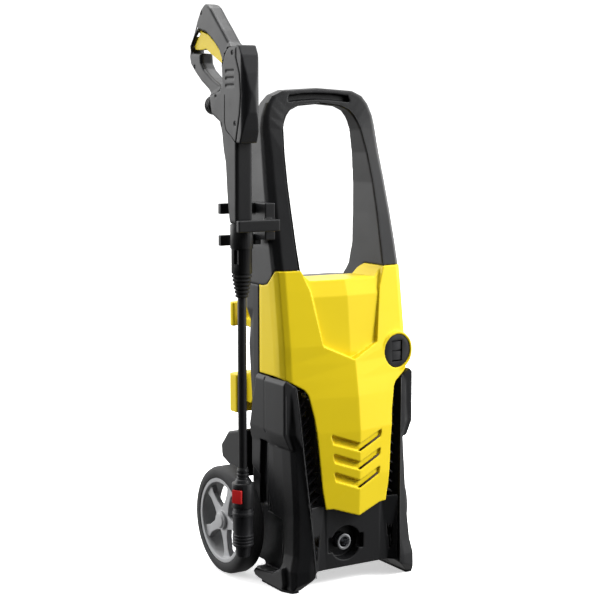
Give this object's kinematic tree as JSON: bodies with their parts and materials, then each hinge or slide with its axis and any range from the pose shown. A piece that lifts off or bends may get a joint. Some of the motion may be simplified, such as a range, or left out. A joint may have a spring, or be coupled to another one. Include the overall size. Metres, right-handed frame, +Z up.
{
  "type": "pressure washer",
  "caption": "Upright two-wheeled cold-water pressure washer with a loop handle, ribbed front cover, rear cable hooks and a trigger gun with lance parked in a side clip.",
  "frame": {"origin": "on the floor, under the middle of the overall box", "axes": "+Z up, -Y to the front of the machine, +X to its right"},
  "size_m": [0.3665, 0.311, 0.936],
  "materials": {
    "black_plastic": "fine moulded texture, satin",
    "soft_grip": "soft touch, matt",
    "yellow_plastic": "satin gloss",
    "dark_plastic": "satin",
    "grey_plastic": "satin",
    "tyre_black": "moulded hard tyre",
    "foot_rubber": "matt",
    "bright_steel": "turned",
    "dark_steel": "blackened",
    "cast_aluminium": "as cast",
    "brass_parts": "turned",
    "red_plastic": "gloss"
  },
  "bodies": {
    "machine": {"handle_frame": "black_plastic", "handle_grip": "soft_grip", "front_cover": "yellow_plastic", "side_panel_left": "black_plastic", "side_panel_right": "black_plastic", "lower_front_panel": "black_plastic", "louvre_left": "dark_plastic", "louvre_right": "dark_plastic", "rear_cover": "black_plastic", "base_tray": "black_plastic", "foot_pads": "foot_rubber", "detergent_tank": "black_plastic", "outlet_fitting": "bright_steel", "water_inlet": "grey_plastic", "inlet_filter": "bright_steel", "cord_gland": "black_plastic", "switch_housing": "black_plastic", "hook_lower": "yellow_plastic", "gun_holder": "black_plastic", "case_screws": "bright_steel", "axle": "bright_steel", "axle_washers": "bright_steel", "motor_body": "cast_aluminium", "capacitor": "grey_plastic", "pump_body": "cast_aluminium", "pump_head": "brass_parts", "outlet_pipe": "bright_steel", "inlet_pipe": "black_plastic"},
    "wheel_left": {"tyre_left": "tyre_black", "rim_left": "grey_plastic", "hubcap_left": "grey_plastic"},
    "wheel_right": {"tyre_right": "tyre_black", "rim_right": "grey_plastic", "hubcap_right": "grey_plastic"},
    "rotor": {"motor_shaft": "bright_steel", "motor_fan": "dark_plastic"},
    "rocker": {"switch_rocker": "dark_plastic"},
    "upper_hook": {"hook_upper": "yellow_plastic"},
    "tank_lid": {"tank_cap": "yellow_plastic"},
    "gun": {"gun_shell_left": "black_plastic", "gun_shell_right": "black_plastic", "gun_spine": "dark_plastic", "trigger_pin": "bright_steel", "gun_screws": "dark_steel", "lance_adapter": "black_plastic", "bend_guard": "soft_grip", "lance_tube": "black_plastic", "nozzle_body": "black_plastic"},
    "trigger": {"trigger": "yellow_plastic"},
    "inlet_nut": {"gun_inlet_nut": "black_plastic"},
    "nozzle_head": {"nozzle_sleeve": "dark_plastic", "nozzle_tip": "dark_plastic"},
    "nozzle_button": {"nozzle_selector": "red_plastic"}
  },
  "joints": [
    {"name": "wheel_left_spin", "type": "hinge", "parent": "machine", "child": "wheel_left", "pos_m": [-0.1245, 0.0245, 0.09], "axis": [1, 0, 0], "continuous": true},
    {"name": "wheel_right_spin", "type": "hinge", "parent": "machine", "child": "wheel_right", "pos_m": [0.1625, 0.0245, 0.09], "axis": [1, 0, 0], "continuous": true},
    {"name": "motor_spin", "type": "hinge", "parent": "machine", "child": "rotor", "pos_m": [0.019, -0.0485, 0.24], "axis": [0, 0, 1], "continuous": true},
    {"name": "switch_rock", "type": "hinge", "parent": "machine", "child": "rocker", "pos_m": [0.11258, -0.11102, 0.375], "axis": [0.9945, 0.1045, 0], "range_deg": [-7, 7]},
    {"name": "upper_hook_swivel", "type": "hinge", "parent": "machine", "child": "upper_hook", "pos_m": [0.019, 0.0695, 0.405], "axis": [0, 1, 0], "range_deg": [0, 180]},
    {"name": "tank_cap_lift", "type": "slide", "parent": "machine", "child": "tank_lid", "axis": [0, 0, 1], "range_m": [0, 0.06]},
    {"name": "gun_unclip", "type": "slide", "parent": "machine", "child": "gun", "axis": [-1, 0, 0], "range_m": [0, 0.2]},
    {"name": "trigger_pull", "type": "hinge", "parent": "gun", "child": "trigger", "pos_m": [-0.161, 0.0325, 0.898], "axis": [-1, 0, 0], "range_deg": [0, 8], "stiffness_Nm_per_rad": 1.5, "springref_deg": -8.59},
    {"name": "hose_nut_spin", "type": "hinge", "parent": "gun", "child": "inlet_nut", "pos_m": [-0.161, -0.0025, 0.777], "axis": [0, 1, 0], "continuous": true},
    {"name": "nozzle_turn", "type": "hinge", "parent": "gun", "child": "nozzle_head", "pos_m": [-0.161, -0.0875, 0.1], "axis": [0, 0, 1], "range_deg": [-45, 45]},
    {"name": "nozzle_button_press", "type": "slide", "parent": "gun", "child": "nozzle_button", "axis": [0.891, 0.454, 0], "range_m": [0, 0.0018], "stiffness_N_per_m": 600, "springref_m": -0.001}
  ]
}
